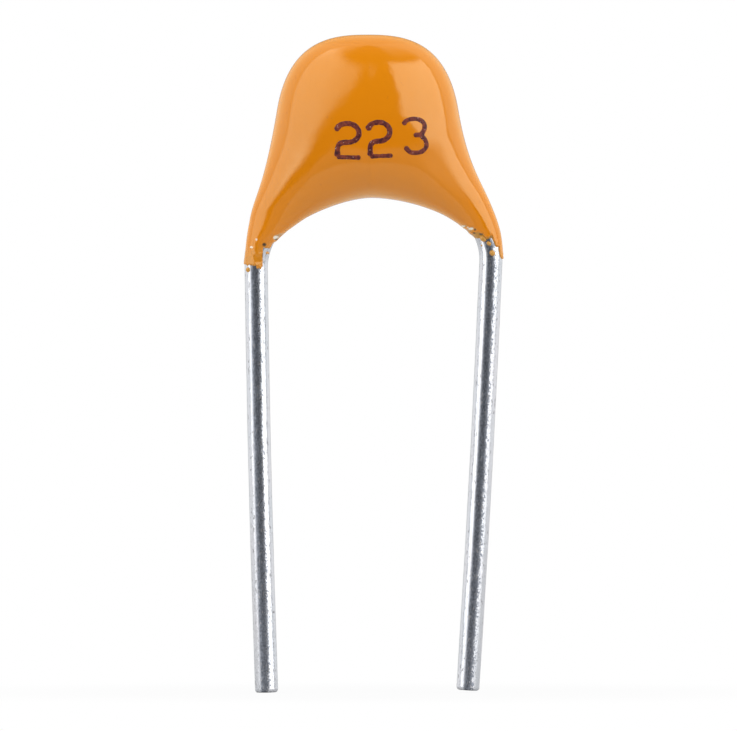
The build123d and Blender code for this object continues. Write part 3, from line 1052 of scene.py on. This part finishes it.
# Painted reflection: the strip's dark colour stands in for the dark room mirrored in the tin; the strip is
# also rougher.
painted_strip_shade = blended(tree, eased(tree, fine_patches, 0.3, 0.7), strip_shade_dark, strip_shade_pale)
colour = blended(tree, painted_dark_strip, blended(tree, broad, blue_tin, violet_tin), painted_strip_shade)
colour = blended(tree, specks, colour, pit_grey)
roughness = arithmetic(tree, "MULTIPLY_ADD", painted_dark_strip, dull_roughness, scaled(tree, fine, 0.13, 0.29))
fill_inputs(tree, shader, Base_Color=colour, Roughness=roughness, Metallic=1.0)
relief(tree, shader, fine, depth=0.006)
for wire in wires:
    set_material(wire, tin)

# %% [markdown]
# ## The parts inside
# Nobody sees the chip until the coating is cut open, but it is there and it has finishes of
# its own: matt fired ceramic, thin nickel plates, satin tinned caps and dull solder. These
# solids keep their shape, so only their material is set. One loop serves them all, because
# they differ in nothing but colour, gloss, grain and whether they are metal.

# %% Inner materials
inner_finishes = {
    "fired_ceramic": {
        "nodes": ["dielectric"], "dark": (0.42, 0.31, 0.21), "pale": (0.58, 0.46, 0.34),
        "metallic": 0.0, "gloss": (0.55, 0.8), "size": 0.03, "depth": 0.004,
    },
    "nickel_plate": {
        "nodes": ["electrodes_left", "electrodes_right"], "dark": (0.46, 0.44, 0.40),
        "pale": (0.66, 0.63, 0.58), "metallic": 1.0, "gloss": (0.3, 0.5), "size": 0.02, "depth": 0.001,
    },
    "tinned_cap": {
        "nodes": ["termination_left", "termination_right"], "dark": (0.58, 0.58, 0.59),
        "pale": (0.78, 0.78, 0.79), "metallic": 1.0, "gloss": (0.28, 0.5), "size": 0.06, "depth": 0.006,
    },
    "soft_solder": {
        "nodes": ["solder_left", "solder_right"], "dark": (0.44, 0.45, 0.47),
        "pale": (0.70, 0.71, 0.73), "metallic": 1.0, "gloss": (0.22, 0.45), "size": 0.09, "depth": 0.012,
    },
}
for name, finish in inner_finishes.items():
    material, tree, shader = new_material(name)
    fine, _, _ = grain(tree, size=finish["size"])
    colour = blended(tree, fine, finish["dark"], finish["pale"])
    roughness = scaled(tree, fine, *finish["gloss"])
    fill_inputs(tree, shader, Base_Color=colour, Roughness=roughness, Metallic=finish["metallic"])
    relief(tree, shader, fine, depth=finish["depth"])
    for node in finish["nodes"]:
        set_material(frame["nodes"][node], material)

# %% [markdown]
# ## Light
# A glossy part is lit by what it mirrors, so the room is drawn first and the part follows.
# Area lamps would do, but their reflections have hard outlines on all sides. Here the room is
# a picture made of two angles in degrees: how far a direction lies to the side, from the
# camera's own side of the part, and how far up.

# %% Directions in the room
world = bpy.data.worlds.new("studio")
bpy.context.scene.world = world
world.use_nodes = True
tree = world.node_tree
tree.nodes.clear()
direction = add_node(tree, "TexCoord").outputs["Generated"]
split = add_node(tree, "SeparateXYZ", Vector=direction)
toward_camera = arithmetic(tree, "MULTIPLY", split.outputs["Y"], -1.0)
azimuth = arithmetic(tree, "DEGREES", arithmetic(tree, "ARCTAN2", split.outputs["X"], toward_camera))
elevation = arithmetic(tree, "DEGREES", arithmetic(tree, "ARCSINE", split.outputs["Z"]))
print("two angles from", len(tree.nodes), "nodes")

# %% [markdown]
# The side behind the camera is dark, and a large soft panel stands to the left and to the
# right of it. A panel is a band of azimuth and a band of elevation with blurred edges. Its
# inner edge leans, and lines cut off its corners, because that is how the reflections on the
# dome run: they narrow towards the legs.

# %% Panels
fade_angle = 35
corner_blur = 0.7
low_blur = 6
upper_steep = 2.0
panels = {
    "right": {
        "side": 1, "inner": 21, "slant": 0.17, "corner": 36, "steep": 1.15, "outer": 83,
        "low": -4, "high": 57, "upper": 200, "blur": 4, "faint": 0.85, "level": 2.4,
    },
    "left": {
        "side": -1, "inner": 16, "slant": 0.3, "corner": 38, "steep": 0.95, "outer": 84,
        "low": -16, "high": 78, "upper": 102, "blur": 9, "faint": 0.6, "level": 1.85,
    },
}


def panel_light(side, inner, slant, corner, steep, outer, low, high, upper, blur, faint, level):
    """Brightness of one panel: its level, times a smooth step over each of its edges.

    Across is the azimuth towards the panel's side. The inner edge lies where across plus
    slant times elevation passes inner, so the panel gets wider towards its top, and a steeper
    line of the same kind cuts off the lower corner. A line that leans the other way cuts off
    the upper corner. The panel is fainter near its inner edge.
    """
    across = arithmetic(tree, "MULTIPLY", azimuth, float(side))
    leaning = arithmetic(tree, "MULTIPLY_ADD", elevation, slant, across)
    lower_cut = arithmetic(tree, "MULTIPLY_ADD", elevation, steep, across)
    upper_cut = arithmetic(tree, "MULTIPLY_ADD", elevation, -upper_steep, across)
    half, soft = blur / 2, corner_blur * blur
    light = eased(tree, leaning, inner, inner + fade_angle, faint * level, level)
    edges = (
        (leaning, inner - half, inner + half), (lower_cut, corner - soft, corner + soft),
        (across, outer + half, outer - half), (elevation, high + blur, high - blur),
        (elevation, low - low_blur, low + low_blur), (upper_cut, -upper - 2 * blur, -upper + 2 * blur),
    )
    for angle, start, end in edges:
        light = arithmetic(tree, "MULTIPLY", light, eased(tree, angle, start, end))
    return light


right_panel, left_panel = (panel_light(**panel) for panel in panels.values())
both_panels = arithmetic(tree, "ADD", right_panel, left_panel)
print("with the panels", len(tree.nodes), "nodes")

# %% [markdown]
# Pale walls stand beside and behind the part, dimmer right behind it, as at a doorway. A pale
# ceiling comes lower towards the back. Below lies the table. It is dim in the middle and
# glares to both sides, and on the left a dark gap runs between the two, along a line as steep
# as the left panel's lower corner. The camera itself sees plain white instead of all this.

# %% Walls, ceiling and table
wall_edge, doorway_edge = (80, 92), (176, 135)
wall_level, doorway_level = 1.05, 0.3
ceiling_turn, ceiling_edge, ceiling_blur = (60, 120), (55, 20), (0, 30)
ceiling_sides, ceiling_levels = (8, 35), (0.12, 0.8)
table_level, table_glare = 0.37, 0.7
glare_right, gap_right, gap_left, table_edge = (27, 47), (24, 16), (30, 39), (-1, -12)
dark_room, white = (0.037, 0.041, 0.048), (1, 1, 1)

aside = arithmetic(tree, "ABSOLUTE", azimuth)
wall = eased(tree, aside, *wall_edge, 0, wall_level)
wall = arithmetic(tree, "MULTIPLY", wall, eased(tree, aside, *doorway_edge, doorway_level, 1))
above_edge = arithmetic(tree, "SUBTRACT", elevation, eased(tree, aside, *ceiling_turn, *ceiling_edge))
over = eased(tree, above_edge, *ceiling_blur)
over = arithmetic(tree, "MULTIPLY", over, eased(tree, aside, *ceiling_sides, *ceiling_levels))
lowered = arithmetic(tree, "MULTIPLY", elevation, panels["left"]["steep"])
left_line = arithmetic(tree, "SUBTRACT", lowered, azimuth)
table_right = eased(tree, azimuth, *glare_right, table_level, table_glare)
table_right = arithmetic(tree, "MULTIPLY", table_right, eased(tree, left_line, *gap_right))
table_both = arithmetic(tree, "ADD", table_right, eased(tree, left_line, *gap_left, 0, table_glare))
below = arithmetic(tree, "MULTIPLY", table_both, eased(tree, elevation, *table_edge))
pale_room = arithmetic(tree, "MAXIMUM", arithmetic(tree, "MAXIMUM", wall, over), below)
strength = arithmetic(tree, "ADD", pale_room, both_panels)
dark = add_node(tree, "Background", Color=dark_room, Strength=1.0).outputs["Background"]
pale = add_node(tree, "Background", Color=white, Strength=strength).outputs["Background"]
room = add_node(tree, "AddShader")
tree.links.new(dark, room.inputs[0])
tree.links.new(pale, room.inputs[1])
plain_white = add_node(tree, "Background", Color=white, Strength=1.0).outputs["Background"]
seen_by_camera = add_node(tree, "LightPath").outputs["Is Camera Ray"]
seen = mixed_shaders(tree, seen_by_camera, room.outputs["Shader"], plain_white)
add_node(tree, "OutputWorld", Surface=seen)
print("whole room:", len(tree.nodes), "nodes")

# %% [markdown]
# ## Floor
# The part stands on a pale table. To the camera most of the table's colour is plain white, so
# that it runs into the background, and the rest is its own lit surface, which keeps the
# shadow at the wires' tips. Further out the white takes over altogether.

# %% Floor and its material
floor_sides, floor_front, floor_back = 0.06, 0.015, 0.06
white_near, white_far = 0.91, 1.0
white_from, white_to = 0.004, 0.014
dim_grey, clear_grey = (0.64, 0.64, 0.64), (0.68, 0.68, 0.68)

floor_mesh = bpy.data.meshes.new("floor")
corners = [
    (-floor_sides, -floor_front, 0), (floor_sides, -floor_front, 0),
    (floor_sides, floor_back, 0), (-floor_sides, floor_back, 0),
]
floor_mesh.from_pydata(corners, [], [(0, 1, 2, 3)])
floor = in_scene("floor", floor_mesh)
table, tree, shader = new_material("pale_floor")
fine, broad, _ = grain(tree, size=0.5)
colour = blended(tree, broad, dim_grey, clear_grey)
fill_inputs(tree, shader, Base_Color=colour, Roughness=scaled(tree, fine, 0.55, 0.7))
seen_by_camera = add_node(tree, "LightPath").outputs["Is Camera Ray"]
glow = add_node(tree, "Emission", Color=white, Strength=1.0).outputs["Emission"]
place = add_node(tree, "TexCoord").outputs["Object"]
away = add_node(tree, "VectorMath", {"operation": "LENGTH"}, Vector=place).outputs["Value"]
white_share = eased(tree, away, white_from, white_to, white_near, white_far)
white_part = arithmetic(tree, "MULTIPLY", seen_by_camera, white_share)
seen = mixed_shaders(tree, white_part, shader.outputs["BSDF"], glow)
tree.links.new(seen, tree.nodes["Material Output"].inputs["Surface"])
set_material(floor, table)

# %% [markdown]
# ## Camera
# The photograph has no perspective to speak of, so the camera stands well back with a long
# lens, level with the middle of the part.

# %% Camera
frame_width = 0.016022
middle = Vector((-0.000102, 0, 0.007109))
sensor_width, long_lens = 36, 800
camera_data = bpy.data.cameras.new("camera")
camera_data.sensor_width = sensor_width
camera_data.lens = long_lens
camera = in_scene("camera", camera_data)
camera.location = middle - Vector((0, frame_width * long_lens / sensor_width, 0))
camera.rotation_euler = (np.pi / 2, 0, 0)
camera_data.clip_start, camera_data.clip_end = 0.01, 5
bpy.context.scene.camera = camera
bpy.context.scene.view_settings.view_transform = "Standard"
print("camera", [round(v, 4) for v in camera.location])
